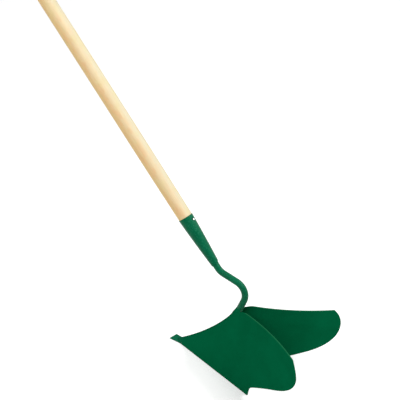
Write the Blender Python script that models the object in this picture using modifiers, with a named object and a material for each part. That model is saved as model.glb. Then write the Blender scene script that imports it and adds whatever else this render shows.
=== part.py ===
"""Ridging hoe: a plough shaped pressed blade on a swan neck bar, a rolled socket and a long wooden handle.

Metres, +Z up. The hoe stands as in use: the flat nib and both share edges lie on the ground, +Y is the
open back between the wings, and the handle rises forwards, towards the user. The origin is in the mirror
plane, on the ground, in the middle of the nib's flat underside.
"""
import bmesh
import bpy
import math
from mathutils import Vector

# Clearance between pieces that touch
GAP = 0.0003

# Blade sheet, nib and share edges
SHEET = 0.0020
NIB_WIDTH = 0.0174
NIB_LENGTH = 0.024
SHARE_ANGLE = math.radians(16.8)
SHARE_REACH = 0.1788
NOSE_FOLD_RADIUS = 0.0065

# Ridge line of the blade, from the ground to where the bar comes out of the fold, as a Bezier curve
CREST_TOP_Y = 0.0902
CREST_TOP_Z = 0.115
CREST_FOOT_SLOPE = math.radians(40.5)
CREST_FOOT_HANDLE = 0.0645
CREST_TOP_HANDLE = 0.0220

# Wings
SHOULDER_Y = 0.112
SHOULDER_Z = 0.1318
SHOULDER_POWER = 1.4
TIP_Y = 0.2485
TIP_Z = 0.1472
TOP_ANGLE = math.radians(20.3)
WING_FLARE = 0.036
FLARE_RUN = 0.150
FLARE_POWER = 1.2

# Barb, notch behind it, lower edge and rounded tail of a wing, seen from the side
BARB_HEIGHT = 0.0166
BARB_LEAN = 0.0010
NOTCH_RADIUS = 0.0050
LOWER_EDGE_ANGLE = math.radians(34.8)
LOWER_EDGE_RUN = 0.0472
TAIL_FOOT_HANDLE = 0.0682
TAIL_TIP_HANDLE = 0.0295
TAIL_TIP_SLOPE = math.radians(140.8)

# Swan neck bar
ROD_DIAMETER = 0.0126
ROD_LEAN = math.radians(81.3)
ROD_SEAT = 0.016
NECK_RISE = 0.0597
NECK_REACH = 0.0623
NECK_SLOPE = math.radians(8.1)
NECK_LEAD = 0.0180
LOWER_BEND_RADIUS = 0.0269
UPPER_BEND_RADIUS = 0.026
ROD_INSERT = 0.018

# Socket
SOCKET_LENGTH = 0.1008
SOCKET_RIM_DIAMETER = 0.028
SOCKET_WALL = 0.0011
THROAT_LENGTH = 0.006
SEAM_WIDTH = 0.0012
SEAM_START = 0.022

# Handle
HANDLE_PITCH = math.radians(39.5)
HANDLE_DIAMETER = 0.028
HANDLE_LENGTH = 1.300
HANDLE_TAPER = 0.130
HANDLE_SHOULDER = 0.0006
HANDLE_END_CLEARANCE = 0.006
HANDLE_END_ROUND = 0.010
HANDLE_NOSE_CHAMFER = 0.002

# Retaining nail
NAIL_BELOW_RIM = 0.010
NAIL_SHANK_DIAMETER = 0.0025
NAIL_LENGTH = 0.016
NAIL_HEAD_DIAMETER = 0.0046
NAIL_HEAD_HEIGHT = 0.0011

# Weld beads
WELD_RADIUS = 0.0011
WELD_HALF_ARC = math.radians(120.0)
SOCKET_WELD_HEIGHT = 0.0026
INNER_WELD_TOP = 0.007
INNER_WELD_LENGTH = 0.016

# Fineness of the meshes
TURN_STEPS = 40
FOLD_STEPS = 6
WING_STEPS = 16
CREST_STEPS = 16
OVERRUN = 0.012
CUT_MARGIN = 0.006

# Derived sizes
ROD_RADIUS = ROD_DIAMETER / 2
ROD_FOOT_Z = CREST_TOP_Z - ROD_SEAT * math.sin(ROD_LEAN)
FOLD_RADIUS = ROD_RADIUS + GAP + SHEET
RIM_RADIUS = SOCKET_RIM_DIAMETER / 2
THROAT_RADIUS = ROD_RADIUS + GAP
NIB_ROOT_Y = NIB_LENGTH / 2
NIB_FRONT_Y = -NIB_LENGTH / 2
HANDLE_AXIS = Vector((0.0, -math.cos(HANDLE_PITCH), math.sin(HANDLE_PITCH)))


def bezier(p0, p1, p2, p3, t):
    """Point of a cubic Bezier curve in the side view, as (y, z)."""
    s = 1.0 - t
    return p0 * s ** 3 + p1 * 3 * s * s * t + p2 * 3 * s * t * t + p3 * t ** 3


def along(angle, length):
    """Side view step of a given length, at an angle above +Y."""
    return Vector((math.cos(angle), math.sin(angle))) * length


def fold_radius(z):
    """Outer radius of the round fold at a height: tight at the nose, fitting the bar higher up."""
    share = min(max(z / ROD_FOOT_Z, 0.0), 1.0)
    return NOSE_FOLD_RADIUS + (FOLD_RADIUS - NOSE_FOLD_RADIUS) * share


def crest_foot():
    """Y of the ridge line on the ground, so that the share line runs into the corner of the nib."""
    radius = fold_radius(0.0)
    fold_end = NIB_ROOT_Y - (NIB_WIDTH / 2 - radius * math.cos(SHARE_ANGLE)) / math.tan(SHARE_ANGLE)
    return fold_end - radius * (1.0 - math.sin(SHARE_ANGLE))


def crest_point(t):
    """Ridge line as (y, z): t is 0 on the ground and 1 at its top, and it runs on straight past both."""
    p0 = Vector((crest_foot(), 0.0))
    p3 = Vector((CREST_TOP_Y, CREST_TOP_Z))
    p1 = p0 + along(CREST_FOOT_SLOPE, CREST_FOOT_HANDLE)
    p2 = p3 - along(ROD_LEAN, CREST_TOP_HANDLE)
    if t < 0.0:
        return p0 + (p1 - p0) * 3 * t
    if t > 1.0:
        return p3 + (p3 - p2) * 3 * (t - 1.0)
    return bezier(p0, p1, p2, p3, t)


def crest_at(z):
    """Y of the ridge line, or of its straight continuation beside the bar, at a height."""
    low, high = 0.0, 1.4
    for _ in range(40):
        middle = (low + high) / 2
        if crest_point(middle).y < z:
            low = middle
        else:
            high = middle
    return crest_point(low).x


def splay_at(z):
    """Sideways slope of a wing at a height: narrow at the share, wider at the top edge."""
    share = min(max(z / TIP_Z, 0.0), 1.1)
    foot, top = math.tan(SHARE_ANGLE), math.tan(TOP_ANGLE)
    return foot + (top - foot) * share


def wing_point(crest_y, z, run):
    """Outer face of the right wing, run being the distance behind the end of the round fold."""
    share = min(max(z / TIP_Z, 0.0), 1.1)
    splay = splay_at(z)
    angle = math.atan(splay)
    flare = WING_FLARE * (run / FLARE_RUN) ** 2 * share ** FLARE_POWER
    radius = fold_radius(z)
    x = radius * math.cos(angle) + splay * run + flare
    y = crest_y + radius * (1.0 - math.sin(angle)) + run
    return Vector((x, y, z))


def waterline(crest_y, z, back_y):
    """Level section of the right half of the blade: round fold, then the wing back to back_y."""
    angle = math.atan(splay_at(z))
    turn = math.pi / 2 - angle
    radius = fold_radius(z)
    points = []
    for i in range(FOLD_STEPS):
        a = turn * i / FOLD_STEPS
        x = radius * math.sin(a)
        y = crest_y + radius * (1.0 - math.cos(a))
        points.append(Vector((x, y, z)))
    length = back_y - wing_point(crest_y, z, 0.0).y
    for i in range(WING_STEPS + 1):
        points.append(wing_point(crest_y, z, length * i / WING_STEPS))
    return points


def top_edge(y):
    """Height of the top edge: straight from the tip to the shoulder, then swept down to the ridge."""
    slope = (TIP_Z - SHOULDER_Z) / (TIP_Y - SHOULDER_Y)
    drop = SHOULDER_Z - slope * (SHOULDER_Y - CREST_TOP_Y) - CREST_TOP_Z
    share = (SHOULDER_Y - y) / (SHOULDER_Y - CREST_TOP_Y)
    return SHOULDER_Z + slope * (y - SHOULDER_Y) - drop * min(max(share, 0.0), 1.0) ** SHOULDER_POWER


def tail_curve():
    """Rounded tail of a wing in the side view, from the end of the lower edge to the tip."""
    foot = notch_corner() + along(LOWER_EDGE_ANGLE, LOWER_EDGE_RUN / math.cos(LOWER_EDGE_ANGLE))
    tip = Vector((TIP_Y, TIP_Z))
    p1 = foot + along(LOWER_EDGE_ANGLE, TAIL_FOOT_HANDLE)
    p2 = tip - along(TAIL_TIP_SLOPE, TAIL_TIP_HANDLE)
    return [bezier(foot, p1, p2, tip, i / 14) for i in range(15)]


def notch_corner():
    """Corner between the barb's back and the wing's lower edge, before its rounding."""
    return Vector((SHARE_REACH - BARB_LEAN, BARB_HEIGHT))


def round_corner(before, corner, after, radius, steps):
    """Arc that rounds a corner between two straight runs; works in the side view and in space."""
    a = (before - corner).normalized()
    b = (after - corner).normalized()
    half = a.angle(b) / 2
    centre = corner + (a + b).normalized() * (radius / math.sin(half))
    start = corner + a * (radius / math.tan(half)) - centre
    end = corner + b * (radius / math.tan(half)) - centre
    sweep = math.pi - 2 * half
    points = []
    for i in range(steps + 1):
        t = i / steps
        u = math.sin((1.0 - t) * sweep) / math.sin(sweep)
        v = math.sin(t * sweep) / math.sin(sweep)
        points.append(centre + start * u + end * v)
    return points


def side_outline():
    """Outline that the pressed sheet is trimmed to, as (y, z) points anticlockwise from the nib."""
    barb = Vector((SHARE_REACH, 0.0))
    tail = tail_curve()
    points = [Vector((NIB_FRONT_Y, 0.0)), barb]
    points += round_corner(barb, notch_corner(), tail[0], NOTCH_RADIUS, 5)
    points += tail
    for i in range(9):
        y = SHOULDER_Y + (CREST_TOP_Y - SHOULDER_Y) * i / 8
        points.append(Vector((y, top_edge(y))))
    points.append(Vector((CREST_TOP_Y - OVERRUN, CREST_TOP_Z)))
    points.append(Vector((NIB_FRONT_Y, CREST_TOP_Z)))
    return points


def rod_axis(z):
    """Centre of the straight part of the neck bar, which stands in the fold of the blade, at a height."""
    offset = FOLD_RADIUS / math.sin(ROD_LEAN)
    y = CREST_TOP_Y + offset + (z - CREST_TOP_Z) / math.tan(ROD_LEAN)
    return Vector((0.0, y, z))


def neck_corners():
    """End points and corners of the neck bar's centre line, from the blade to inside the socket."""
    up = Vector((0.0, math.cos(ROD_LEAN), math.sin(ROD_LEAN)))
    forward = Vector((0.0, -math.cos(NECK_SLOPE), math.sin(NECK_SLOPE)))
    seat = rod_axis(CREST_TOP_Z)
    foot = seat - up * ROD_SEAT
    lower = seat + up * NECK_RISE
    upper = lower + forward * NECK_REACH
    socket_end = upper + HANDLE_AXIS * NECK_LEAD
    head = socket_end + HANDLE_AXIS * ROD_INSERT
    return foot, lower, upper, socket_end, head


def neck_path():
    """Centre line of the neck bar with both bends rounded."""
    foot, lower, upper, socket_end, head = neck_corners()
    path = [foot]
    path += round_corner(foot, lower, upper, LOWER_BEND_RADIUS, 12)
    path += round_corner(lower, upper, head, UPPER_BEND_RADIUS, 5)
    path.append(socket_end)
    path.append(head)
    return path


def weld_arc():
    """Centre line of the bead that runs round the bar on the blade's top edge."""
    reach = ROD_RADIUS + GAP + WELD_RADIUS
    step = 0.0001
    points = []
    for i in range(17):
        a = -WELD_HALF_ARC + 2 * WELD_HALF_ARC * i / 16
        z = CREST_TOP_Z
        for _ in range(8):
            y = rod_axis(z).y - reach * math.cos(a) / math.sin(ROD_LEAN)
            slope = (top_edge(y + step) - top_edge(y)) / step
            z = top_edge(y) + (GAP + WELD_RADIUS) * math.hypot(slope, 1.0)
        points.append(Vector((reach * math.sin(a), y, z)))
    return points


def inner_weld_point(z):
    """Centre of the bead in the corner between the bar and the inner face of the right wing."""
    angle = math.atan(splay_at(z))
    centre = rod_axis(z)
    crest_y = crest_at(z)
    reach = ROD_RADIUS / math.sin(ROD_LEAN) + GAP + WELD_RADIUS
    low, high = 0.0, 0.030
    for _ in range(40):
        run = (low + high) / 2
        wall = wing_point(crest_y, z, run)
        x = wall.x - (SHEET + GAP + WELD_RADIUS) / math.cos(angle)
        if math.hypot(x, wall.y - centre.y) < reach or wall.y < centre.y:
            low = run
        else:
            high = run
    return Vector((x, wall.y, z))


def socket_outer(z):
    """Outer radius of the socket at a height above its lower end."""
    foot = THROAT_RADIUS + SOCKET_WALL
    return foot + (RIM_RADIUS - foot) * z / SOCKET_LENGTH


def socket_inner(z):
    """Inner radius of the socket: a straight throat round the bar, then a cone."""
    share = max(z - THROAT_LENGTH, 0.0) / (SOCKET_LENGTH - THROAT_LENGTH)
    return THROAT_RADIUS + (RIM_RADIUS - SOCKET_WALL - THROAT_RADIUS) * share


def remove_all():
    """Empty the scene."""
    for found in list(bpy.data.objects):
        bpy.data.objects.remove(found, do_unlink=True)


def make_material(name, colour, roughness, metallic):
    """Principled material with one colour."""
    material = bpy.data.materials.new(name)
    material.use_nodes = True
    shader = material.node_tree.nodes["Principled BSDF"]
    shader.inputs["Base Color"].default_value = (*colour, 1.0)
    shader.inputs["Roughness"].default_value = roughness
    shader.inputs["Metallic"].default_value = metallic
    return material


def make_collection(name):
    """Collection linked to the scene."""
    collection = bpy.data.collections.new(name)
    bpy.context.scene.collection.children.link(collection)
    return collection


def add_piece(name, data, collection, material=None, parent=None):
    """Object in a collection, with its material, in the frame of its parent."""
    piece = bpy.data.objects.new(name, data)
    collection.objects.link(piece)
    if material:
        data.materials.append(material)
    if parent:
        piece.parent = parent
    return piece


def hide_cutter(cutter):
    """Show a cutter as wires only."""
    cutter.hide_render = True
    cutter.display_type = "WIRE"
    return cutter


def turn(piece):
    """Turn a profile in the XZ plane about Z."""
    screw = piece.modifiers.new("Turn", "SCREW")
    screw.axis = "Z"
    screw.angle = 2 * math.pi
    screw.steps = TURN_STEPS
    screw.render_steps = TURN_STEPS
    screw.use_merge_vertices = True
    screw.merge_threshold = 0.00001
    return screw


def profile_mesh(name, points, closed=False):
    """Open or closed profile of (radius, height) points, running down the outer side."""
    bm = bmesh.new()
    corners = [bm.verts.new((r, 0.0, z)) for r, z in points]
    for a, b in zip(corners, corners[1:]):
        bm.edges.new((a, b))
    if closed:
        bm.edges.new((corners[-1], corners[0]))
    mesh = bpy.data.meshes.new(name)
    bm.to_mesh(mesh)
    bm.free()
    return mesh


def cut(piece, cutter, operation="DIFFERENCE"):
    """Boolean of a piece with a cutter."""
    boolean = piece.modifiers.new(operation.title() + " " + cutter.name, "BOOLEAN")
    boolean.operation = operation
    boolean.solver = "EXACT"
    boolean.object = cutter
    return boolean


def tube(name, points, radius, collection, material, resolution):
    """Round bar along a row of points."""
    curve = bpy.data.curves.new(name, "CURVE")
    curve.dimensions = "3D"
    curve.bevel_depth = radius
    curve.bevel_resolution = resolution
    curve.use_fill_caps = True
    spline = curve.splines.new("POLY")
    spline.points.add(len(points) - 1)
    for target, point in zip(spline.points, points):
        target.co = (*point, 1.0)
    return add_piece(name, curve, collection, material)


def block(name, low, high, collection, parent=None):
    """Box between two corners."""
    bm = bmesh.new()
    bmesh.ops.create_cube(bm, size=1.0)
    size = Vector(high) - Vector(low)
    middle = (Vector(high) + Vector(low)) / 2
    bmesh.ops.scale(bm, vec=size, verts=bm.verts)
    mesh = bpy.data.meshes.new(name)
    bm.to_mesh(mesh)
    bm.free()
    piece = add_piece(name, mesh, collection, parent=parent)
    piece.location = middle
    return piece


def flat_cutter(name, outline, half_depth, collection):
    """Side view outline as a flat curve, given depth along X and made a mesh."""
    curve = bpy.data.curves.new(name + " outline", "CURVE")
    curve.dimensions = "2D"
    curve.fill_mode = "BOTH"
    curve.extrude = half_depth
    spline = curve.splines.new("POLY")
    spline.points.add(len(outline) - 1)
    for target, point in zip(spline.points, outline):
        target.co = (point.x, point.y, 0.0, 1.0)
    spline.use_cyclic_u = True
    drawn = add_piece(name + " outline", curve, collection)
    drawn.rotation_euler = (math.pi / 2, 0.0, math.pi / 2)
    bpy.context.view_layer.update()
    mesh = bpy.data.meshes.new_from_object(drawn.evaluated_get(bpy.context.evaluated_depsgraph_get()))
    bm = bmesh.new()
    bm.from_mesh(mesh)
    bmesh.ops.remove_doubles(bm, verts=bm.verts, dist=0.00001)
    bm.to_mesh(mesh)
    bm.free()
    cutter = add_piece(name, mesh, collection)
    cutter.matrix_world = drawn.matrix_world.copy()
    bpy.data.objects.remove(drawn, do_unlink=True)
    return hide_cutter(cutter)


def pressed_half():
    """Right half of the pressed sheet's outer face before trimming, lofted through level sections."""
    back_y = NIB_ROOT_Y + max(SHARE_REACH, TIP_Y + TAIL_TIP_HANDLE) + OVERRUN
    rise = (TIP_Z + CUT_MARGIN - CREST_TOP_Z) / (3 * CREST_TOP_HANDLE * math.sin(ROD_LEAN))
    levels = [-0.05] + [i / CREST_STEPS for i in range(CREST_STEPS)]
    levels += [1.0 + rise * i / 5 for i in range(6)]
    bm = bmesh.new()
    rows = []
    for t in levels:
        crest = crest_point(t)
        rows.append([bm.verts.new(p) for p in waterline(crest.x, crest.y, back_y)])
    for low, high in zip(rows, rows[1:]):
        for i in range(len(low) - 1):
            bm.faces.new((low[i], low[i + 1], high[i + 1], high[i]))
    mesh = bpy.data.meshes.new("blade")
    bm.to_mesh(mesh)
    bm.free()
    mesh.shade_smooth()
    return mesh


def build_blade(parts, cutters, paint):
    """Pressed blade: folded sheet with a flat nib, share edges, barbs and swept wings."""
    blade = add_piece("blade", pressed_half(), parts, paint)
    mirror = blade.modifiers.new("Mirror", "MIRROR")
    mirror.use_axis = (True, False, False)
    mirror.use_clip = True
    mirror.merge_threshold = 0.0001
    wall = blade.modifiers.new("Wall", "SOLIDIFY")
    wall.thickness = SHEET
    wall.offset = -1.0
    wall.use_even_offset = True
    half = NIB_WIDTH / 2
    nib = block("nib", (-half, NIB_FRONT_Y, -CUT_MARGIN), (half, NIB_ROOT_Y, SHEET), cutters)
    cut(blade, hide_cutter(nib), "UNION")
    outline = flat_cutter("side trim", side_outline(), 2 * TIP_Y, cutters)
    cut(blade, outline, "INTERSECT")
    return blade


def build_neck(parts, paint):
    """Swan neck bar, from the fold of the blade into the socket's throat."""
    return tube("neck", neck_path(), ROD_RADIUS, parts, paint, 4)


def build_neck_welds(parts, paint):
    """Bead on the blade's top edge round the bar, and a bead down each side of the bar inside the fold."""
    tube("neck_weld", weld_arc(), WELD_RADIUS, parts, paint, 2)
    right = []
    for i in range(5):
        z = SHOULDER_Z - INNER_WELD_TOP - INNER_WELD_LENGTH * i / 4
        right.append(inner_weld_point(z))
    left = [Vector((-p.x, p.y, p.z)) for p in right]
    tube("inner_weld_right", right, WELD_RADIUS, parts, paint, 2)
    tube("inner_weld_left", left, WELD_RADIUS, parts, paint, 2)


def handle_frame(parts):
    """Empty at the socket's lower end, its Z axis up the handle and its Y axis to the upper side."""
    frame = bpy.data.objects.new("handle_axis", None)
    parts.objects.link(frame)
    frame.location = neck_corners()[3]
    frame.rotation_euler = (math.pi / 2 - HANDLE_PITCH, 0.0, 0.0)
    return frame


def nail_cutter(name, radius, depth, cutters, frame):
    """Round cutter along the nail, from outside the socket inwards."""
    bm = bmesh.new()
    length = RIM_RADIUS + OVERRUN - depth
    bmesh.ops.create_cone(
        bm, cap_ends=True, segments=24, radius1=radius, radius2=radius, depth=length
    )
    mesh = bpy.data.meshes.new(name)
    bm.to_mesh(mesh)
    bm.free()
    cutter = add_piece(name, mesh, cutters, parent=frame)
    cutter.location = (0.0, depth + length / 2, SOCKET_LENGTH - NAIL_BELOW_RIM)
    cutter.rotation_euler = (-math.pi / 2, 0.0, 0.0)
    return hide_cutter(cutter)


def build_socket(parts, cutters, paint, frame):
    """Rolled conical socket with a throat round the bar, an open seam below and a nail hole above."""
    rim = RIM_RADIUS - SOCKET_WALL
    points = [
        (RIM_RADIUS, SOCKET_LENGTH),
        (socket_outer(0.0), 0.0),
        (THROAT_RADIUS, 0.0),
        (THROAT_RADIUS, THROAT_LENGTH),
        (rim, SOCKET_LENGTH),
    ]
    socket = add_piece("socket", profile_mesh("socket", points, closed=True), parts, paint, frame)
    turn(socket)
    half = SEAM_WIDTH / 2
    seam = block(
        "seam cutter",
        (-half, -RIM_RADIUS - CUT_MARGIN, SEAM_START),
        (half, -THROAT_RADIUS / 2, SOCKET_LENGTH + CUT_MARGIN),
        cutters,
        frame,
    )
    cut(socket, hide_cutter(seam))
    hole = NAIL_SHANK_DIAMETER / 2 + GAP
    cut(socket, nail_cutter("socket nail hole", hole, THROAT_RADIUS, cutters, frame))
    return socket


def build_socket_weld(parts, paint, frame):
    """Turned bead that closes the step between the socket's lower end and the bar."""
    outer = socket_outer(0.0)
    height = SOCKET_WELD_HEIGHT
    thin = THROAT_RADIUS + (outer - THROAT_RADIUS) * 0.25
    points = [
        (outer, -GAP),
        (outer, -GAP - height * 0.35),
        (THROAT_RADIUS + (outer - THROAT_RADIUS) * 0.75, -GAP - height * 0.75),
        (thin, -GAP - height),
        (THROAT_RADIUS, -GAP - height),
        (THROAT_RADIUS, -GAP),
    ]
    bead = add_piece("socket_weld", profile_mesh("socket_weld", points, closed=True), parts, paint, frame)
    turn(bead)
    return bead


def handle_profile():
    """Handle from its round end down to the nose inside the socket, as (radius, height)."""
    radius = HANDLE_DIAMETER / 2
    nose = ROD_INSERT + HANDLE_END_CLEARANCE
    top = nose + HANDLE_LENGTH
    points = []
    for i in range(7):
        a = math.pi / 2 * i / 6
        r = radius - HANDLE_END_ROUND + HANDLE_END_ROUND * math.sin(a) if i else 0.0
        points.append((r, top - HANDLE_END_ROUND + HANDLE_END_ROUND * math.cos(a)))
    shoulder = RIM_RADIUS - HANDLE_SHOULDER
    for i in range(6):
        share = i / 5
        swell = (1.0 + math.cos(math.pi * share)) / 2
        z = SOCKET_LENGTH + GAP + HANDLE_TAPER * (1.0 - share)
        points.append((shoulder + (radius - shoulder) * swell, z))
    points.append((RIM_RADIUS - SOCKET_WALL - GAP, SOCKET_LENGTH + GAP))
    chamfer = nose + HANDLE_NOSE_CHAMFER
    points.append((socket_inner(chamfer) - GAP, chamfer))
    points.append((socket_inner(chamfer) - GAP - HANDLE_NOSE_CHAMFER, nose))
    points.append((0.0, nose))
    return points


def build_handle(parts, cutters, wood, frame):
    """Turned wooden handle, necked down to the socket and tapered to fit inside it."""
    handle = add_piece("handle", profile_mesh("handle", handle_profile()), parts, wood, frame)
    turn(handle)
    hole = NAIL_SHANK_DIAMETER / 2 + GAP
    bottom = socket_outer(SOCKET_LENGTH - NAIL_BELOW_RIM) - NAIL_LENGTH - GAP
    cut(handle, nail_cutter("handle nail hole", hole, bottom, cutters, frame))
    return handle


def build_nail(parts, steel, frame):
    """Retaining nail: low domed head on the socket, shank through the wall into the wood."""
    head = NAIL_HEAD_DIAMETER / 2
    shank = NAIL_SHANK_DIAMETER / 2
    points = []
    for i in range(5):
        a = math.pi / 2 * i / 4
        points.append((head * math.sin(a), NAIL_HEAD_HEIGHT * math.cos(a)))
    points.append((shank, 0.0))
    points.append((shank, -NAIL_LENGTH + 3 * shank))
    points.append((0.0, -NAIL_LENGTH))
    nail = add_piece("socket_nail", profile_mesh("socket_nail", points), parts, steel, frame)
    turn(nail).steps = 24
    nail.modifiers["Turn"].render_steps = 24
    z = SOCKET_LENGTH - NAIL_BELOW_RIM
    nail.location = (0.0, socket_outer(z) + GAP, z)
    nail.rotation_euler = (-math.pi / 2, 0.0, 0.0)
    return nail


def build():
    """Make every piece of the hoe."""
    remove_all()
    parts = make_collection("ridging hoe")
    cutters = make_collection("cutters")
    paint = make_material("green paint", (0.003, 0.080, 0.032), 0.35, 0.0)
    wood = make_material("pale wood", (0.90, 0.72, 0.46), 0.55, 0.0)
    steel = make_material("bright steel", (0.75, 0.75, 0.72), 0.30, 1.0)
    build_blade(parts, cutters, paint)
    build_neck(parts, paint)
    build_neck_welds(parts, paint)
    frame = handle_frame(parts)
    build_socket(parts, cutters, paint, frame)
    build_socket_weld(parts, paint, frame)
    build_handle(parts, cutters, wood, frame)
    build_nail(parts, steel, frame)


build()
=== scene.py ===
# %% [markdown]
# # A ridging hoe: pressed blade, swan neck, rolled socket and wooden handle
#
# A ridging hoe is pulled through loose soil to heap it up on both sides. Its blade is one sheet
# of steel folded like the bow of a ship, with a flat nib in front. A bent bar and a rolled socket
# carry a long wooden handle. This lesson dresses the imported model: each piece is modelled again
# with a fine mesh, and each finish is made from nodes.

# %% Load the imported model
import bisect
import bmesh
import bpy
import math
from mathutils import Matrix, Quaternion, Vector


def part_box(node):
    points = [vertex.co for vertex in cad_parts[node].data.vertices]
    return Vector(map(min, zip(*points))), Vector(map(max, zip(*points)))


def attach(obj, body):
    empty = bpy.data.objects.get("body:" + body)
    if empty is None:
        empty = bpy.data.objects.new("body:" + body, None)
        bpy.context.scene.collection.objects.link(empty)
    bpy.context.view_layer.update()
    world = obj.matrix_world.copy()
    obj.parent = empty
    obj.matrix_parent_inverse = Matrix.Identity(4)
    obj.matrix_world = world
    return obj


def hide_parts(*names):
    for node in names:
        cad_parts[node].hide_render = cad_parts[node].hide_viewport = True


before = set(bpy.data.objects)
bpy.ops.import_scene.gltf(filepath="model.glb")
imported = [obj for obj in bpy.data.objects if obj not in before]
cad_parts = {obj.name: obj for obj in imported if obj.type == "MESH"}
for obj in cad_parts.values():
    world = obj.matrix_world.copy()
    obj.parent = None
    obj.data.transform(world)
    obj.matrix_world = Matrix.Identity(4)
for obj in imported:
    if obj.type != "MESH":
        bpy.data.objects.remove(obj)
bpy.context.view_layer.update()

HOE = "root"
print("nodes:", ", ".join(sorted(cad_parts)))

# %% [markdown]
# ## The camera
#
# The photograph was taken from behind the hoe's right side and from above, a little turned, with a
# long lens. A camera could be aimed by hand, but a place and three angles say the same thing in
# numbers that can be checked: the bearing, the height above the horizon, and the roll.

# %% Place the camera
IMAGE_WIDTH = 400
FOCAL_PIXELS = 1711.6
SENSOR_WIDTH = 36.0
BEARING = math.radians(109.271)
ELEVATION = math.radians(32.224)
ROLL = math.radians(14.736)
camera_data = bpy.data.cameras.new("camera")
camera_data.sensor_width = SENSOR_WIDTH
camera_data.lens = SENSOR_WIDTH * FOCAL_PIXELS / IMAGE_WIDTH
camera_data.clip_end = 50.0
camera = bpy.data.objects.new("camera", camera_data)
bpy.context.scene.collection.objects.link(camera)
bpy.context.scene.camera = camera

back = Vector((
    math.sin(BEARING) * math.cos(ELEVATION),
    -math.cos(BEARING) * math.cos(ELEVATION),
    math.sin(ELEVATION),
))
camera.rotation_mode = "QUATERNION"
camera.rotation_quaternion = back.to_track_quat("Z", "Y") @ Quaternion((0, 0, 1), ROLL)
camera.location = (2.4357, 0.8259, 1.9307)
bpy.context.scene.view_settings.view_transform = "Standard"
print("lens:", round(camera_data.lens, 1), "mm")

# %% [markdown]
# ## Expressions for shader nodes
#
# A procedural finish is arithmetic on patterns. Node trees built call by call hide that arithmetic,
# so a small class wraps a socket and overloads the operators. An expression such as 1 - mask then
# adds its own Math node. Every other node comes from one method that takes the node's type, its
# settings and the values or links of its inputs.

# %% Wrap a socket, so that arithmetic adds Math nodes
class Wire:
    def __init__(self, finish, socket):
        self.finish = finish
        self.socket = socket

    def math(self, operation, first, second):
        return self.finish.node("ShaderNodeMath", {"operation": operation}, {0: first, 1: second})

    def __add__(self, other):
        return self.math("ADD", self, other)

    def __radd__(self, other):
        return self.math("ADD", other, self)

    def __sub__(self, other):
        return self.math("SUBTRACT", self, other)

    def __rsub__(self, other):
        return self.math("SUBTRACT", other, self)

    def __mul__(self, other):
        return self.math("MULTIPLY", self, other)


# %% A finish is a material with one way to add a node
class Finish:
    def __init__(self, name):
        self.material = bpy.data.materials.new(name)
        self.material.use_nodes = True
        self.tree = self.material.node_tree
        self.shader = self.tree.nodes["Principled BSDF"]

    def put(self, socket, value):
        if isinstance(value, Wire):
            self.tree.links.new(value.socket, socket)
        elif hasattr(socket.default_value, "__len__") and len(socket.default_value) == 4:
            socket.default_value = (*value, 1.0)
        else:
            socket.default_value = value

    def node(self, kind, settings, inputs, output=0):
        made = self.tree.nodes.new(kind)
        for name, value in settings.items():
            setattr(made, name, value)
        for name, value in inputs.items():
            self.put(made.inputs[name], value)
        return Wire(self, made.outputs[output])

    def set(self, **values):
        for name, value in values.items():
            self.put(self.shader.inputs[name.replace("_", " ")], value)

    def place(self, centre=(0.0, 0.0, 0.0), turn=(0.0, 0.0, 0.0), stretch=(1.0, 1.0, 1.0)):
        point = self.node("ShaderNodeTexCoord", {}, {}, "Object")
        return self.node("ShaderNodeMapping", {"vector_type": "TEXTURE"}, {
            "Vector": point, "Location": centre, "Rotation": turn, "Scale": stretch})

    def part(self, point, axis):
        return self.node("ShaderNodeSeparateXYZ", {}, {"Vector": point}, axis)

    def noise(self, point, scale, detail=2.0, roughness=0.5):
        return self.node("ShaderNodeTexNoise", {}, {
            "Vector": point, "Scale": scale, "Detail": detail, "Roughness": roughness})

    def spread(self, value, low, high):
        return self.node("ShaderNodeMapRange", {"interpolation_type": "SMOOTHSTEP"}, {
            "Value": value, "From Min": low, "From Max": high})

    def mix(self, share, first, second):
        settings = {"data_type": "RGBA"}
        return self.node("ShaderNodeMix", settings, {"Factor": share, 6: first, 7: second}, 2)

    def bump(self, value, strength, distance):
        inputs = {"Height": value, "Strength": strength, "Distance": distance}
        return self.node("ShaderNodeBump", {}, inputs)


# %% [markdown]
# ## Floor, backdrop and light
#
# The photograph is a cut-out on white. A pale floor gives the hoe something to stand on. It is lit
# like everything else and lifted to white where the camera sees it, so only the soft shadow is
# left. The light is plain studio light: a dim world from all round, and three large lamps, which
# give soft edges. The floor lies half a millimetre down, so that it shares no plane with the hoe.

# %% Pale floor that keeps the shadow
FLOOR_LIFT = 0.43
FLOOR_HALF = 12.0
FLOOR_HEIGHT = -0.0005
floor_finish = Finish("pale_floor")
floor_finish.set(Base_Color=(0.80, 0.80, 0.80), Roughness=0.9)
floor_finish.shader.inputs["Specular IOR Level"].default_value = 0.0
seen = floor_finish.node("ShaderNodeLightPath", {}, {}, "Is Camera Ray")
mirrored = floor_finish.node("ShaderNodeLightPath", {}, {}, "Is Glossy Ray")
passed = floor_finish.node("ShaderNodeLightPath", {}, {}, "Is Transmission Ray")
lift = floor_finish.mix(seen + mirrored + passed, (0.0, 0.0, 0.0), (1.0, 1.0, 1.0))
floor_finish.set(Emission_Color=lift, Emission_Strength=FLOOR_LIFT)

bm = bmesh.new()
bmesh.ops.create_grid(bm, x_segments=1, y_segments=1, size=FLOOR_HALF)
floor_mesh = bpy.data.meshes.new("floor")
bm.to_mesh(floor_mesh)
bm.free()
floor = bpy.data.objects.new("floor", floor_mesh)
floor.location = (0.0, 0.0, FLOOR_HEIGHT)
floor_mesh.materials.append(floor_finish.material)
bpy.context.scene.collection.objects.link(floor)
print("floor:", len(floor_mesh.polygons), "face")

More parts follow.
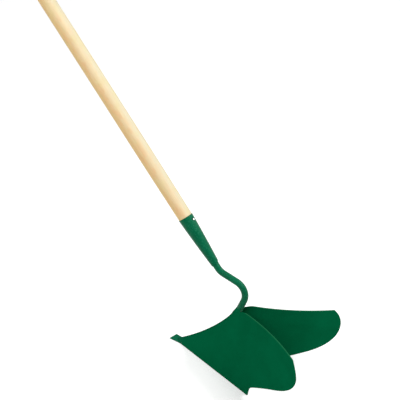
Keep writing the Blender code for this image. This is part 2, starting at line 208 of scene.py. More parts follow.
# %% World that is white to the eye and dim as a light
WORLD_LIGHT = 0.03
world = bpy.data.worlds.new("studio")
bpy.context.scene.world = world
world.use_nodes = True
sky = world.node_tree
path = sky.nodes.new("ShaderNodeLightPath")
eye = sky.nodes.new("ShaderNodeMath")
eye.operation = "MAXIMUM"
sky.links.new(path.outputs["Is Camera Ray"], eye.inputs[0])
both = sky.nodes.new("ShaderNodeMath")
both.operation = "MAXIMUM"
sky.links.new(path.outputs["Is Glossy Ray"], both.inputs[0])
sky.links.new(path.outputs["Is Transmission Ray"], both.inputs[1])
sky.links.new(both.outputs[0], eye.inputs[1])
level = sky.nodes.new("ShaderNodeMapRange")
level.inputs["To Min"].default_value = WORLD_LIGHT
level.inputs["To Max"].default_value = 1.0
sky.links.new(eye.outputs[0], level.inputs["Value"])
sky.links.new(level.outputs[0], sky.nodes["Background"].inputs["Strength"])
sky.nodes["Background"].inputs["Color"].default_value = (1.0, 1.0, 1.0, 1.0)
print("light from the world:", WORLD_LIGHT)


# %% Three large lamps
def lamp(name, place, target, size, power):
    data = bpy.data.lights.new(name, "AREA")
    data.shape = "SQUARE"
    data.size = size
    data.energy = power
    made = bpy.data.objects.new(name, data)
    made.location = place
    made.rotation_euler = (Vector(place) - Vector(target)).to_track_quat("Z", "Y").to_euler()
    bpy.context.scene.collection.objects.link(made)


MIDDLE = (0.0, -0.1, 0.25)
lamp("key", (-1.405, 1.574, 2.855), MIDDLE, 1.1, 70.0)
lamp("second", (0.380, 2.052, 2.855), MIDDLE, 1.1, 40.0)
lamp("fill", (2.374, -0.964, 2.525), MIDDLE, 2.0, 69.0)
print("lamps: key, second and fill")

# %% [markdown]
# ## From a bmesh to a piece of the hoe
#
# Every piece is made the same way at the end: the mesh goes into an object at the origin, gets its
# finish, rides on the hoe and takes the place of its plain solid. One function does that, and
# prints how many triangles the piece has.

# %% Turn a bmesh into a piece
SAME_POINT = 0.000002
SHARP_FROM = math.radians(40.0)


def finish_piece(bm, name, finish, slot, *nodes):
    bmesh.ops.remove_doubles(bm, verts=bm.verts, dist=SAME_POINT)
    bmesh.ops.recalc_face_normals(bm, faces=bm.faces)
    mesh = bpy.data.meshes.new(name)
    bm.to_mesh(mesh)
    bm.free()
    mesh.shade_smooth()
    mesh.set_sharp_from_angle(angle=SHARP_FROM)
    mesh.materials.append(finish.material)
    piece = bpy.data.objects.new(name, mesh)
    bpy.context.scene.collection.objects.link(piece)
    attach(piece, HOE)
    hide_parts(*nodes)
    mesh.calc_loop_triangles()
    print(name + ":", len(mesh.loop_triangles), "triangles")


# %% [markdown]
# ## Green paint
#
# The hoe is sprayed dark green. The coat has clouds that are barely darker or lighter, an orange
# peel and small pale dots. The dots are partly painted highlight: they also stand in for glints of
# light on the peel. A noise a few centimetres wide gives the clouds. Noises of two to three
# millimetres give the dots and the peel, which is a bump and a change of roughness. The sheet's
# coat is almost smooth, and the one on the bar and the socket is coarse. The coarse coat's green is
# a little bluer, which is painted light for the brighter light on the bar and the socket. The dark
# green has next to no red in it, and a white sheen would turn it grey. So the sheet and the large
# weld get no sheen, and the sheen of the coarse coat is low and tinted green.
#
# A paint keeps its tone, so that a later cell can mark it: another colour is mixed in where a mask
# says so.

# %% Smooth and coarse green paint
DOT_AND_GLINT_COLOUR = (0.018, 0.185, 0.100)
CLOUD_SCALE = 22.0
PEEL_DEPTH = 0.0012


def green_paint(
    name, dark, light, peel_scale, peel_strength, speckle_and_glint, gloss=0.0, tint=(1.0, 1.0, 1.0),
):
    paint = Finish(name)
    paint.point = paint.place()
    clouds = paint.spread(paint.noise(paint.point, CLOUD_SCALE, 4.0, 0.6), 0.32, 0.68)
    peel = paint.noise(paint.point, peel_scale, 3.0, 0.55)
    dots = paint.spread(paint.noise(paint.point, peel_scale * 1.3, 1.0), 0.56, 0.70)
    paint.tone = paint.mix(clouds, dark, light)
    # Partly painted highlight: the pale dots also stand in for glints of light on the peel.
    paint.tone = paint.mix(dots * speckle_and_glint, paint.tone, DOT_AND_GLINT_COLOUR)
    paint.set(
        Base_Color=paint.tone,
        Roughness=0.17 + peel * 0.18,
        Normal=paint.bump(peel, peel_strength, PEEL_DEPTH),
    )
    paint.shader.inputs["Specular IOR Level"].default_value = gloss
    paint.shader.inputs["Specular Tint"].default_value = (*tint, 1.0)
    return paint


def mark(paint, mask, colour):
    paint.tone = paint.mix(mask, paint.tone, colour)
    paint.set(Base_Color=paint.tone)


sheet_paint = green_paint(
    "green_paint_smooth",
    dark=(0.0006, 0.1140, 0.0430), light=(0.0007, 0.1290, 0.0500),
    peel_scale=420.0, peel_strength=0.05, speckle_and_glint=0.08,
)
weld_paint = green_paint(
    "green_paint_on_welds",
    dark=(0.0006, 0.1070, 0.0390), light=(0.0010, 0.1480, 0.0590),
    peel_scale=330.0, peel_strength=0.22, speckle_and_glint=0.15,
)
# Painted light: the coarse coat's green is a little bluer than the sheet's, for the brighter light
# on the bar and the socket.
ORANGE_PEEL = {
    "dark": (0.0006, 0.1040, 0.0430), "light": (0.0010, 0.1360, 0.0590),
    "peel_scale": 330.0, "peel_strength": 0.9, "speckle_and_glint": 0.60,
    "gloss": 0.11, "tint": (0.42, 1.0, 0.80),
}
rough_paint = green_paint("green_paint_orange_peel", **ORANGE_PEEL)
print("paints:", *(paint.material.name for paint in (sheet_paint, rough_paint, weld_paint)))

# %% [markdown]
# ## The form of the blade
#
# Seen from above at any height, each half of the blade is a round fold that runs out into a wing.
# The ridge, where the two halves meet, is a Bezier curve in the side view. So the whole outer face
# follows from four values: the height, the ridge there, the fold's radius and the wing's splay.
# The wing also curls outwards a little, the more the higher and the further back it is.

# %% The ridge, the fold and the wing
NOSE_FOLD, TOP_FOLD = 0.0065, 0.0086
SHARE_ANGLE, TOP_ANGLE = math.radians(16.28), math.radians(17.8)
NIB_HALF, NIB_REACH = 0.0087, 0.012
FOOT_RISE, FOOT_PULL = math.radians(38.3), 0.0692
BAR_LEAN, CREST_PULL = math.radians(81.3), 0.0160
CREST_TOP, CREST_PAST = Vector((0.0902, 0.115)), 0.06
BAR_FOOT_HEIGHT = 0.0992
TIP = Vector((0.2471, 0.1481))
FLARE, FLARE_RUN = 0.0435, 0.150
RIDGE_STEPS = 200


def bezier(p0, p1, p2, p3, t):
    s = 1.0 - t
    return p0 * s ** 3 + p1 * 3 * s * s * t + p2 * 3 * s * t * t + p3 * t ** 3


def along(angle, length):
    return Vector((math.cos(angle), math.sin(angle))) * length


def share_of_height(z):
    return min(max(z / TIP.y, 0.0), 1.1)


def fold_radius(z):
    return NOSE_FOLD + (TOP_FOLD - NOSE_FOLD) * min(max(z / BAR_FOOT_HEIGHT, 0.0), 1.0)


def splay(z):
    low, high = math.tan(SHARE_ANGLE), math.tan(TOP_ANGLE)
    return low + (high - low) * share_of_height(z)


fold_end = NIB_REACH - (NIB_HALF - NOSE_FOLD * math.cos(SHARE_ANGLE)) / math.tan(SHARE_ANGLE)
crest_foot = Vector((fold_end - NOSE_FOLD * (1.0 - math.sin(SHARE_ANGLE)), 0.0))
crest_line = [
    bezier(
        crest_foot,
        crest_foot + along(FOOT_RISE, FOOT_PULL),
        CREST_TOP - along(BAR_LEAN, CREST_PULL),
        CREST_TOP,
        i / RIDGE_STEPS,
    )
    for i in range(RIDGE_STEPS + 1)
]
crest_line.append(CREST_TOP + along(BAR_LEAN, CREST_PAST))


def read_line(line, z):
    i = min(max(bisect.bisect_left(line, z, key=lambda p: p.y), 1), len(line) - 1)
    low, high = line[i - 1], line[i]
    return low.x + (high.x - low.x) * (z - low.y) / max(high.y - low.y, 1e-9)


def half_width(y, z):
    radius, slope = fold_radius(z), splay(z)
    angle = math.atan(slope)
    behind = y - read_line(crest_line, z)
    run = behind - radius * (1.0 - math.sin(angle))
    if run < 0.0:
        return math.sqrt(max(radius ** 2 - (radius - max(behind, 0.0)) ** 2, 0.0))
    flare = FLARE * (run / FLARE_RUN) ** 2 * share_of_height(z) ** 1.2
    return radius * math.cos(angle) + slope * run + flare


print("half width at the tip:", round(half_width(TIP.x, TIP.y), 4))

# %% [markdown]
# ## The outline of the wing
#
# The sheet is cut to its outline before it is pressed: a straight share edge, a short barb, a
# rounded notch, a straight lower edge, a round tail, and a top edge that runs straight to the
# shoulder and sweeps down to the ridge round the bar. The rear part climbs all the way from the
# barb to the tip, so it is one line of points, and each row of the grid ends on one of them.

# %% Rear outline and top edge
def round_corner(before, corner, after, radius, steps):
    a = (before - corner).normalized()
    b = (after - corner).normalized()
    half = a.angle(b) / 2
    centre = corner + (a + b).normalized() * (radius / math.sin(half))
    start = corner + a * (radius / math.tan(half)) - centre
    end = corner + b * (radius / math.tan(half)) - centre
    sweep = math.pi - 2 * half
    return [
        centre
        + start * (math.sin((1.0 - i / steps) * sweep) / math.sin(sweep))
        + end * (math.sin(i / steps * sweep) / math.sin(sweep))
        for i in range(steps + 1)
    ]


SHARE_REACH = 0.1775
NOTCH_BACK, NOTCH_HEIGHT, NOTCH_RADIUS = 0.0015, 0.0168, 0.011
LOWER_EDGE, LOWER_RUN = math.radians(34.9), 0.0503
TAIL_PULL = 0.0653
TIP_TURN, TIP_PULL = math.radians(138.9), 0.0308
SHOULDER, SWEEP = Vector((0.120, 0.1342)), 1.4
barb = Vector((SHARE_REACH, 0.0))
notch = Vector((SHARE_REACH - NOTCH_BACK, NOTCH_HEIGHT))
tail_foot = notch + along(LOWER_EDGE, LOWER_RUN / math.cos(LOWER_EDGE))
tail_ends = (tail_foot + along(LOWER_EDGE, TAIL_PULL), TIP - along(TIP_TURN, TIP_PULL))
rear_line = [barb, barb.lerp(notch, 0.2), barb.lerp(notch, 0.4)]
rear_line += round_corner(barb, notch, tail_foot, NOTCH_RADIUS, 10)
rear_line += [notch.lerp(tail_foot, i / 14) for i in range(2, 14)]
rear_line += [bezier(tail_foot, *tail_ends, TIP, i / 40) for i in range(41)]


def top_edge(y):
    slope = (TIP.y - SHOULDER.y) / (TIP.x - SHOULDER.x)
    drop = SHOULDER.y - slope * (SHOULDER.x - CREST_TOP.x) - CREST_TOP.y
    share = min(max((SHOULDER.x - y) / (SHOULDER.x - CREST_TOP.x), 0.0), 1.0)
    return SHOULDER.y + slope * (y - SHOULDER.x) - drop * share ** SWEEP


print("rear outline:", len(rear_line), "points")

# %% [markdown]
# ## The pressed blade
#
# A trimmed solid gets ragged small faces along its cut, which shade badly. Here a flat grid is
# made first and every point of it is then moved to its place on the pressed form, with the grid's
# four sides on the ridge, the share edge, the rear outline and the top edge. The half is mirrored,
# given its thickness, and all its rims are rounded.

# %% Move a grid onto the pressed form
FOLD_COLUMNS = 12
WING_COLUMNS = 64
COLUMNS = FOLD_COLUMNS + WING_COLUMNS
ROWS = len(rear_line) - 1


def column_y(column, z, rear_y):
    radius, angle = fold_radius(z), math.atan(splay(z))
    crest_y = read_line(crest_line, z)
    if column <= FOLD_COLUMNS:
        turned = (math.pi / 2 - angle) * column / FOLD_COLUMNS
        return crest_y + radius * (1.0 - math.cos(turned))
    start = crest_y + radius * (1.0 - math.sin(angle))
    return start + (rear_y - start) * (column - FOLD_COLUMNS) / WING_COLUMNS


top_heights = []
for column in range(COLUMNS + 1):
    z = CREST_TOP.y
    for _ in range(40):
        z = top_edge(column_y(column, z, TIP.x))
    top_heights.append(z)


def blade_point(column, row):
    rear = rear_line[row]
    climb = rear.y / TIP.y
    foot = CREST_TOP.y * climb
    level = column / COLUMNS
    swept = (top_heights[column] - CREST_TOP.y) / (TIP.y - CREST_TOP.y)
    share = level + (swept - level) * climb ** 4
    z = foot + (rear.y - foot) * share
    y = column_y(column, z, rear.x)
    return Vector((half_width(y, z) if column else 0.0, y, z))


def moved_grid(columns, rows, place):
    bm = bmesh.new()
    bmesh.ops.create_grid(bm, x_segments=columns, y_segments=rows, size=1.0)
    for corner in bm.verts:
        column = round((corner.co.x + 1.0) / 2.0 * columns)
        row = round((corner.co.y + 1.0) / 2.0 * rows)
        corner.co = place(column, row)
    return bm


bm = moved_grid(COLUMNS, ROWS, blade_point)
bmesh.ops.mirror(bm, geom=bm.verts[:] + bm.edges[:] + bm.faces[:], merge_dist=0.00001, axis="X")
bmesh.ops.remove_doubles(bm, verts=bm.verts, dist=0.000005)
bmesh.ops.recalc_face_normals(bm, faces=bm.faces)
print("outer face of the blade:", len(bm.faces), "faces")

# %% [markdown]
# The thickness goes to the inside, so the outer face keeps its size. The operator that thickens a
# surface works along each point's own normal, so some points of the foot end up under the ground
# and are lifted back to it. The rims are left square. A small bevel rounds them, as a thick coat
# of paint does. The nib is a flat block whose front was cut by eye: it flares a little, and one
# corner lies further back than the other.

# %% Thickness, rounded rims and the nib
SHEET = 0.0020
SQUARE_EDGE = math.radians(60.0)
SHEET_ROUND = 0.0005
NIB_FLARE, NIB_ASIDE = 1.11, 0.0005
NIB_BACK, NIB_SKEW = 0.0012, 0.0043


def bevel(bm, edges, width):
    bmesh.ops.bevel(
        bm, geom=edges, offset=width, offset_type="OFFSET", segments=3,
        profile=0.5, affect="EDGES", material=-1,
    )


def round_square_edges(bm, width):
    edges = [
        edge for edge in bm.edges
        if len(edge.link_faces) == 2 and edge.calc_face_angle() > SQUARE_EDGE
    ]
    bevel(bm, edges, width)
    return len(edges)


def thicken(bm, wall, inner_point):
    outward = 0.0
    for face in bm.faces:
        middle = face.calc_center_median()
        outward += face.normal.dot(middle - inner_point(middle))
    if outward < 0.0:
        bmesh.ops.reverse_faces(bm, faces=bm.faces)
    bmesh.ops.solidify(bm, geom=bm.faces[:], thickness=wall)


thicken(bm, SHEET, lambda p: Vector((0.0, p.y, p.z)))
for corner in bm.verts:
    corner.co.z = max(corner.co.z, 0.0)
rims = round_square_edges(bm, SHEET_ROUND)
print("rounded rims:", rims, "edges")

nib = bmesh.ops.create_cube(bm, size=1.0)["verts"]
bmesh.ops.scale(bm, vec=(2 * NIB_HALF, 2 * NIB_REACH, SHEET), verts=nib)
bmesh.ops.translate(bm, vec=(0.0, 0.0, SHEET / 2), verts=nib)
for corner in nib:
    if corner.co.y < 0.0:
        corner.co.x = corner.co.x * NIB_FLARE - NIB_ASIDE
        corner.co.y += NIB_BACK + (NIB_SKEW if corner.co.x < 0.0 else 0.0)
bevel(bm, [edge for edge in bm.edges if edge.verts[0] in nib], SHEET_ROUND)

# %% [markdown]
# The coat is lighter along the sheet's top edge, a painted highlight where the rim catches the
# light, and lighter on the nib, a painted sheen. Each mask comes from one coordinate. For the
# first, the
# Mapping node gets a frame that is laid along the straight part of the top edge, and the mask is
# the height in that frame.

# %% Painted highlight on the top edge and painted sheen on the nib
PAINTED_EDGE_HIGHLIGHT, PAINTED_NIB_SHEEN = (0.022, 0.170, 0.075), (0.012, 0.150, 0.082)
edge_slope = math.atan2(TIP.y - SHOULDER.y, TIP.x - SHOULDER.x)
at_edge = sheet_paint.place((0.0, SHOULDER.x, SHOULDER.y), (edge_slope, 0.0, 0.0))
on_edge = sheet_paint.spread(sheet_paint.part(at_edge, "Z"), -0.0012, -0.0002)
# Painted highlight: a lighter green along the top edge, where the rim catches the light.
mark(sheet_paint, on_edge * 0.6, PAINTED_EDGE_HIGHLIGHT)
behind_nib = sheet_paint.spread(sheet_paint.part(sheet_paint.point, "Y"), 0.004, 0.020)
# Painted sheen: a lighter green on the nib, fading out behind it.
mark(sheet_paint, 0.5 - behind_nib * 0.5, PAINTED_NIB_SHEEN)
finish_piece(bm, "pressed_blade", sheet_paint, "green_paint", "blade")

# %% [markdown]
# ## The swan neck
#
# The bar is straight stock, heated and bent twice. A curve object with a round bevel would give a
# bar too, but a circle that is extruded along each straight and spun round the centre of each bend
# is made as the real one is, and its rings stay square to the bar all the way.

# %% Corners of the bar
BAR = 0.0063
NECK_LEAN = math.radians(80.1)
REACH_RISE = math.radians(8.1)
HANDLE_PITCH = math.radians(39.5)
BAR_IN_BLADE, NECK_RISE, NECK_REACH = 0.016, 0.0597, 0.0639
SOCKET_START, BAR_IN_SOCKET = 0.0180, 0.018
LOWER_BEND, UPPER_BEND = 0.0269, 0.026
SEAT_GAP = 0.0004
BAR_ROUND = 0.0008
upward = Vector((0.0, math.cos(NECK_LEAN), math.sin(NECK_LEAN)))
forward = Vector((0.0, -math.cos(REACH_RISE), math.sin(REACH_RISE)))
handle_axis = Vector((0.0, -math.cos(HANDLE_PITCH), math.sin(HANDLE_PITCH)))
seat = Vector((0.0, CREST_TOP.x + TOP_FOLD / math.sin(BAR_LEAN) + SEAT_GAP, CREST_TOP.y))
bar_foot = seat - upward * BAR_IN_BLADE
lower_corner = seat + upward * NECK_RISE
upper_corner = lower_corner + forward * NECK_REACH
socket_end = upper_corner + handle_axis * SOCKET_START
bar_head = socket_end + handle_axis * BAR_IN_SOCKET
print("socket starts at", [round(c, 4) for c in socket_end])


# %% Extrude the straights and spin the bends
def straight(bm, ring, step):
    made = bmesh.ops.extrude_edge_only(bm, edges=ring)["geom"]
    bmesh.ops.translate(bm, vec=step, verts=[g for g in made if isinstance(g, bmesh.types.BMVert)])
    return [g for g in made if isinstance(g, bmesh.types.BMEdge) and len(g.link_faces) == 1]


def bend(bm, ring, centre, angle, steps):
    made = bmesh.ops.spin(
        bm, geom=ring, cent=centre, axis=(1.0, 0.0, 0.0), angle=angle, steps=steps, use_merge=False,
    )["geom_last"]
    return [g for g in made if isinstance(g, bmesh.types.BMEdge)]


def bend_between(bm, ring, start, corner, end, radius, steps):
    before, after = (corner - start).normalized(), (end - corner).normalized()
    turned = before.angle(after)
    side = 1.0 if before.cross(after).x > 0.0 else -1.0
    reach = radius * math.tan(turned / 2)
    ring = straight(bm, ring, corner - before * reach - start)
    centre = corner - before * reach + Vector((0.0, -before.z, before.y)) * radius * side
    ring = bend(bm, ring, centre, turned * side, steps)
    return ring, corner + after * reach


bm = bmesh.new()
start_ring = bmesh.ops.create_circle(bm, cap_ends=True, segments=40, radius=BAR)["verts"]
tilt = Matrix.Translation(bar_foot) @ Matrix.Rotation(NECK_LEAN - math.pi / 2, 4, "X")
bmesh.ops.transform(bm, matrix=tilt, verts=start_ring)
ring = bm.edges[:]
ring, reached = bend_between(bm, ring, bar_foot, lower_corner, upper_corner, LOWER_BEND, 28)
ring, reached = bend_between(bm, ring, reached, upper_corner, bar_head, UPPER_BEND, 14)
ring = straight(bm, ring, bar_head - reached)
bmesh.ops.contextual_create(bm, geom=ring)
round_square_edges(bm, BAR_ROUND)
finish_piece(bm, "swan_neck", rough_paint, "green_paint", "neck")

# %% [markdown]
# ## The rolled socket
#
# The socket is a flat blank rolled into a cone until its edges nearly meet. So a flat grid is
# rolled up in the same way: its columns go round and its rows go up, and the last column stops
# short of the first. The seam is on the hidden under side, shut at the throat and open above it.
# Both ends were cut by eye, so each is a little longer on one side. The sheet bellies out by a
# hair between them. A shallow dimple takes the nail, and a spot of dark paint beside the nail is
# painted shade, the shade in the gap of its hole.

# %% Roll a grid into the socket
FIT_GAP = 0.0003
SOCKET_LENGTH, SOCKET_WALL = 0.0986, 0.0011
SOCKET_FOOT, SOCKET_RIM = BAR + FIT_GAP + SOCKET_WALL, 0.0140
SOCKET_BELLY, SOCKET_ROUND = 0.0004, 0.00035
FOOT_SLANT, FOOT_SIDE = 0.0032, math.radians(126.5)
RIM_SLANT, RIM_SIDE = 0.0018, math.radians(36.5)
THROAT = 0.012
SEAM_SHUT, SEAM_OPENING = 0.00002, 0.00058
NAIL_HEIGHT = 0.0892
DIMPLE_DEPTH, DIMPLE_REACH = 0.0006, 0.0032
ROUND, UP = 144, 84
on_handle = Matrix.Translation(socket_end) @ Matrix.Rotation(math.pi / 2 - HANDLE_PITCH, 4, "X")


def socket_radius(z):
    share = z / SOCKET_LENGTH
    cone = SOCKET_FOOT + (SOCKET_RIM - SOCKET_FOOT) * share
    return cone + SOCKET_BELLY * math.sin(math.pi * share)


def longer_side(turned, slant, side):
    return slant * (1.0 + math.cos(turned - side)) / 2


def foot_height(turned):
    return longer_side(turned, FOOT_SLANT, FOOT_SIDE)


def socket_point(column, row):
    share = row / UP
    level = SOCKET_LENGTH * share
    opening = SEAM_SHUT + SEAM_OPENING * min(max((level - THROAT) / THROAT, 0.0), 1.0)
    gap = opening / socket_radius(level)
    turned = gap - math.pi / 2 + (2 * math.pi - 2 * gap) * column / ROUND
    rim_height = longer_side(turned, RIM_SLANT, RIM_SIDE)
    z = level + foot_height(turned) * (1.0 - share) ** 2 + rim_height * share ** 2
    radius = socket_radius(z)
    if math.sin(turned) > 0.0:
        away = math.hypot(radius * math.cos(turned), z - NAIL_HEIGHT)
        radius -= DIMPLE_DEPTH * math.exp(-((away / DIMPLE_REACH) ** 2))
    return Vector((radius * math.cos(turned), radius * math.sin(turned), z))


PAINTED_HOLE_SHADE = (0.001, 0.010, 0.005)
HOLE_ASIDE, HOLE_ABOVE, HOLE_DEPTH = 0.0022, 0.0018, 0.0004
HOLE_RADIUS, HOLE_SOFT = 0.0015, 0.0023
socket_paint = green_paint("green_paint_on_socket", **ORANGE_PEEL)
hole = on_handle @ Vector((
    HOLE_ASIDE, socket_radius(NAIL_HEIGHT) - HOLE_DEPTH, NAIL_HEIGHT + HOLE_ABOVE,
))
from_hole = socket_paint.node(
    "ShaderNodeVectorMath", {"operation": "DISTANCE"}, {0: socket_paint.point, 1: hole}, "Value",
)
# Painted shade: a dark spot beside the nail for the shade in the gap of its hole.
mark(socket_paint, 1.0 - socket_paint.spread(from_hole, HOLE_RADIUS, HOLE_SOFT), PAINTED_HOLE_SHADE)
bm = moved_grid(ROUND, UP, socket_point)
thicken(bm, SOCKET_WALL, lambda p: Vector((0.0, 0.0, p.z)))
round_square_edges(bm, SOCKET_ROUND)
bmesh.ops.transform(bm, matrix=on_handle, verts=bm.verts)
finish_piece(bm, "rolled_socket", socket_paint, "green_paint", "socket")

# %% [markdown]
# ## The weld beads
#
# A hand weld is a row of small overlapping drops. Each bead here is a grid wrapped round its own
# section, and the section swells and shrinks along the way. Two slow waves that don't keep step
# with the drops stop it from looking like a thread. The large bead climbs the front of the bar, so
# the bar seems to grow out of the ridge, as on the real hoe.

# %% Swelling of a bead along its length
CLOSED_END = 0.00002


def drops(length, pitch):
    slow = math.sin(length * 610.0 + 0.7) + 0.6 * math.sin(length * 1730.0 + 2.1)
    return abs(math.sin(math.pi * length / pitch)) - 0.6 + 0.35 * slow


def bead(columns, rows, place, paint, name, node):
    bm = moved_grid(columns, rows, place)
    bmesh.ops.remove_doubles(bm, verts=bm.verts, dist=CLOSED_END)
    finish_piece(bm, name, paint, "green_paint", node)


# %% [markdown]
# The large bead is wrapped in three turns: down its lumpy face, from the bar to the sheet, then in
# below the top edge to the bar, and up along the bar. Its height is measured from the top edge, so
# a few rounds of a simple search find how far up the bar that edge lies in each direction.

# %% Large bead between the ridge and the bar
BEAD_COLUMNS, BEAD_ROWS = 120, 28
BEAD_TURN = math.radians(128.0)
FACE_SHARE = 0.7
SIDE_RISE, FRONT_RISE = 0.0086, 0.0080
BELOW_EDGE = 0.0009
BEAD_LUMP, BEAD_PITCH, BEAD_RADIUS = 0.00022, 0.0026, 0.0075
SUNK = 0.0001
bar_front = Vector((0.0, -math.sin(NECK_LEAN), math.cos(NECK_LEAN)))


def on_top_edge(direction, radius):
    climb = 0.0
    for _ in range(30):
        point = seat + upward * climb + direction * radius
        climb += (top_edge(point.y) - point.z) * 0.8
    return climb


def top_bead_point(column, row):
    angle = BEAD_TURN * (2.0 * column / BEAD_COLUMNS - 1.0)
    direction = bar_front * math.cos(angle) + Vector((math.sin(angle), 0.0, 0.0))
    ending = math.sqrt(max(1.0 - (angle / BEAD_TURN) ** 6, 0.0))
    sheet = TOP_FOLD + 0.0012 * max(-math.cos(angle), 0.0)
    rise = SIDE_RISE + FRONT_RISE * max(math.cos(angle), 0.0) ** 1.5
    lump = BEAD_LUMP * drops(angle * BEAD_RADIUS, BEAD_PITCH) * ending
    share = row / BEAD_ROWS
    if share < FACE_SHARE:
        down = share / FACE_SHARE
        spread = (sheet - BAR + 0.0003) * down ** 2.2
        radius = BAR - SUNK + spread + lump * math.sin(math.pi * down)
        climb = rise * (1.0 - down) - BELOW_EDGE * down
    else:
        turn = (share - FACE_SHARE) / (1.0 - FACE_SHARE)
        radius = sheet + 0.0002 + (BAR - 0.0003 - sheet) * min(turn * 2.0, 1.0)
        radius = BAR - SUNK if row == BEAD_ROWS else radius
        climb = (rise + BELOW_EDGE) * max(turn * 2.0 - 1.0, 0.0) - BELOW_EDGE
    middle = BAR + 0.0006
    radius = middle + (radius - middle) * ending
    climb = on_top_edge(direction, middle) + climb * ending
    return seat + upward * climb + direction * radius


bead(BEAD_COLUMNS, BEAD_ROWS, top_bead_point, weld_paint, "top_weld", "neck_weld")

# %% Beads inside the fold
INNER_COLUMNS, INNER_ROWS = 60, 14
INNER_LENGTH, INNER_RADIUS = 0.0166, 0.0013
INNER_INSET = 0.0011
INNER_LUMP, INNER_PITCH, INNER_SHIFT = 0.00025, 0.0021, 0.004


def inner_bead(side, node):
    low, high = (Vector(corner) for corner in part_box(node))
    middle = (low.x + high.x) / 2
    foot = Vector((middle, low.y + INNER_INSET, low.z))
    head = Vector((middle, high.y - INNER_INSET, high.z))

    def place(column, row):
        share = column / INNER_COLUMNS
        ending = math.sqrt(max(1.0 - abs(2.0 * share - 1.0) ** 8, 0.0))
        lump = INNER_LUMP * drops(share * INNER_LENGTH + side * INNER_SHIFT, INNER_PITCH)
        radius = (INNER_RADIUS + lump) * ending
        angle = 2 * math.pi * row / INNER_ROWS
        return foot.lerp(head, share) + Vector((math.cos(angle), math.sin(angle), 0.0)) * radius

    bead(INNER_COLUMNS, INNER_ROWS, place, weld_paint, node.replace("weld", "bead"), node)


inner_bead(1, "inner_weld_right")
inner_bead(-1, "inner_weld_left")

# %% Ring of weld under the socket
RING_COLUMNS, RING_ROWS = 120, 16
RING_HALF_HEIGHT = 0.0022
RING_DROP = 0.0006
RING_LUMP, RING_PITCH, RING_RADIUS = 0.00020, 0.0031, 0.0078


def ring_point(column, row):
    angle = 2 * math.pi * column / RING_COLUMNS
    lump = RING_LUMP * drops((math.pi - abs(angle - math.pi)) * RING_RADIUS, RING_PITCH)
    turned = 2 * math.pi * row / RING_ROWS
    across = math.cos(turned) * (SOCKET_FOOT - BAR + 0.0004 + lump) / 2
    down = math.sin(turned) * (RING_HALF_HEIGHT + lump)
    radius = (SOCKET_FOOT + BAR - 0.0004 + lump) / 2 + across
    z = foot_height(angle) + down - RING_DROP - RING_DROP * (1.0 - math.cos(turned))
    return on_handle @ Vector((radius * math.cos(angle), radius * math.sin(angle), z))


bead(RING_COLUMNS, RING_ROWS, ring_point, rough_paint, "socket_bead", "socket_weld")

# %% [markdown]
# ## Pale wood and bright steel
#
# The handle is cut from pale, straight grained wood. Its growth rings cross the round stock almost
# as flat layers: warm heartwood on one side, then cream, then pale sapwood. So the Mapping node
# gets the frame of the handle, turned about its length until one axis crosses the layers. The turn
# puts the warm side where the handle lies in shade and the pale side where it is lit, so the tone
# is partly painted light: the lit side is painted paler. That axis gives the tone, and noise that
# is drawn out along the handle gives the soft orange and olive patches, the streaks and the fine
# fibres. The nail is plain bright steel with soft scratches.

# %% Frame of the grain
HANDLE_RADIUS = 0.014
LAYER_TURN_TO_LIGHT = math.radians(36.5)
grain = Matrix.Rotation(math.pi / 2 - HANDLE_PITCH, 3, "X") @ Matrix.Rotation(LAYER_TURN_TO_LIGHT, 3, "Z")
wood = Finish("pale_wood")
across = wood.place(socket_end, grain.to_euler())
patches = wood.place(socket_end, grain.to_euler(), (1.0, 1.0, 2.2))
streaks = wood.place(socket_end, grain.to_euler(), (1.0, 1.0, 24.0))
print("grain turned by", round(math.degrees(LAYER_TURN_TO_LIGHT), 1), "degrees about the handle")

# %% Layers of the wood, with the lit side painted paler
HEARTWOOD_AND_SHADED_SIDE = (0.870, 0.610, 0.285)
CREAM = (0.895, 0.695, 0.405)
SAPWOOD_AND_LIT_SIDE = (0.770, 0.710, 0.505)
layer_and_lit_side = wood.part(across, "Y") * (1.0 / HANDLE_RADIUS)
layer_and_lit_side = layer_and_lit_side + (wood.noise(patches, 70.0, 2.0) - 0.5) * 0.5
layer_and_lit_side = layer_and_lit_side + (wood.noise(streaks, 320.0, 2.0) - 0.5) * 0.35
# Partly painted light: the tone runs from warm on the shaded side to pale on the lit side.
tone = wood.mix(wood.spread(layer_and_lit_side, -0.72, -0.10), HEARTWOOD_AND_SHADED_SIDE, CREAM)
tone = wood.mix(wood.spread(layer_and_lit_side, -0.25, 0.90), tone, SAPWOOD_AND_LIT_SIDE)

# %% Patches, streaks and fibres
ORANGE_PATCH, OLIVE_PATCH = (0.900, 0.520, 0.240), (0.800, 0.680, 0.300)
DARK_STREAK, DARK_FIBRE = (0.640, 0.410, 0.190), (0.560, 0.340, 0.150)
orange = wood.spread(wood.noise(patches, 110.0, 1.0), 0.46, 0.66)
# The orange patches fade towards the lit side, as part of the painted light.
orange = orange * (1.0 - wood.spread(layer_and_lit_side, -0.30, 0.50) * 0.7)
olive = wood.spread(wood.noise(patches, 71.0, 1.0, 0.7), 0.46, 0.68)
lines = wood.spread(wood.noise(streaks, 480.0, 2.0, 0.6), 0.36, 0.64)
fibres = wood.spread(wood.noise(streaks, 1500.0, 3.0, 0.65), 0.34, 0.66)
tone = wood.mix(orange * 0.42, tone, ORANGE_PATCH)
tone = wood.mix(olive * 0.34, tone, OLIVE_PATCH)
tone = wood.mix((1.0 - lines) * 0.12, tone, DARK_STREAK)
tone = wood.mix((1.0 - fibres) * 0.10, tone, DARK_FIBRE)
wood.set(Base_Color=tone, Roughness=0.52 + fibres * 0.14, Normal=wood.bump(fibres, 0.20, 0.0003))
wood.shader.inputs["Specular IOR Level"].default_value = 0.25
print("nodes in the wood:", len(wood.tree.nodes))

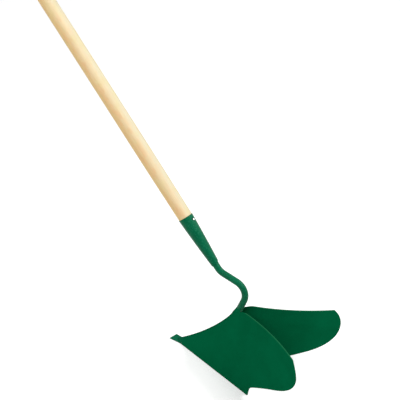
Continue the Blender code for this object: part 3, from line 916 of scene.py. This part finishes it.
# %% Bright steel of the nail
steel = Finish("bright_steel")
scratches = steel.noise(steel.place(), 1800.0, 3.0, 0.6)
steel.set(
    Base_Color=steel.mix(scratches, (0.78, 0.79, 0.80), (0.92, 0.92, 0.90)),
    Metallic=1.0,
    Roughness=0.24 + scratches * 0.14,
    Normal=steel.bump(scratches, 0.12, 0.0002),
)
print("wood and steel:", wood.material.name, steel.material.name)

# %% [markdown]
# ## The handle and its nail
#
# The handle is turned on a lathe, so it is spun here: one line of points from the nose inside the
# socket to the round end, turned once about the handle's axis. It is drawn in a little where it
# enters the socket. The nail's domed head is spun in the same way and sits in the dimple.


# %% Turn a line of points about an axis
def turned_piece(profile, steps, matrix, name, finish, slot, node):
    bm = bmesh.new()
    corners = [bm.verts.new((radius, 0.0, z)) for radius, z in profile]
    line = [bm.edges.new(pair) for pair in zip(corners, corners[1:])]
    bmesh.ops.spin(
        bm, geom=corners + line, cent=(0.0, 0.0, 0.0), axis=(0.0, 0.0, 1.0),
        angle=2 * math.pi, steps=steps, use_merge=True,
    )
    bmesh.ops.remove_doubles(bm, verts=bm.verts, dist=0.000005)
    bmesh.ops.transform(bm, matrix=matrix, verts=bm.verts)
    finish_piece(bm, name, finish, slot, node)


# %% Handle
NOSE, HANDLE_LENGTH = 0.024, 1.300
HANDLE_TOP = NOSE + HANDLE_LENGTH
WAIST, WAIST_LENGTH, RIM_GAP = SOCKET_RIM - 0.0006, 0.130, 0.0004
END_ROUND, END_RUN = 0.010, 0.03
profile = [
    (0.0, NOSE),
    (0.0075, NOSE),
    (0.0087, NOSE + 0.0015),
    (SOCKET_RIM - SOCKET_WALL - FIT_GAP, SOCKET_LENGTH),
]
for i in range(25):
    swell = (1.0 - math.cos(math.pi * i / 24)) / 2
    z = SOCKET_LENGTH + RIM_GAP + WAIST_LENGTH * i / 24
    profile.append((WAIST + (HANDLE_RADIUS - WAIST) * swell, z))
waist_end = profile[-1][1]
plain_run = HANDLE_TOP - END_RUN - waist_end
profile += [(HANDLE_RADIUS, waist_end + plain_run * i / 20) for i in range(1, 21)]
for i in range(17):
    turned = math.pi / 2 * i / 16
    profile.append((
        HANDLE_RADIUS - END_ROUND * (1.0 - math.cos(turned)),
        HANDLE_TOP - END_ROUND * (1.0 - math.sin(turned)),
    ))
profile.append((0.0, HANDLE_TOP))
turned_piece(profile, 96, on_handle, "wooden_handle", wood, "handle_wood", "handle")

# %% Nail
NAIL_POINT, NAIL_TAPER, NAIL_SHANK = -0.016, -0.0125, 0.00125
NAIL_RADIUS, NAIL_DOME = 0.0019, 0.0010
profile = [
    (0.0, NAIL_POINT),
    (NAIL_SHANK, NAIL_TAPER),
    (NAIL_SHANK, -0.0006),
    (NAIL_RADIUS - 0.0002, -0.0004),
]
for i in range(13):
    turned = math.pi / 2 * i / 12
    profile.append((NAIL_RADIUS * math.cos(turned), NAIL_DOME * math.sin(turned)))
on_socket = Matrix.Translation((0.0, socket_radius(NAIL_HEIGHT) - SUNK, NAIL_HEIGHT))
on_socket = on_handle @ on_socket @ Matrix.Rotation(-math.pi / 2, 4, "X")
turned_piece(profile, 48, on_socket, "handle_nail", steel, "bright_steel", "socket_nail")
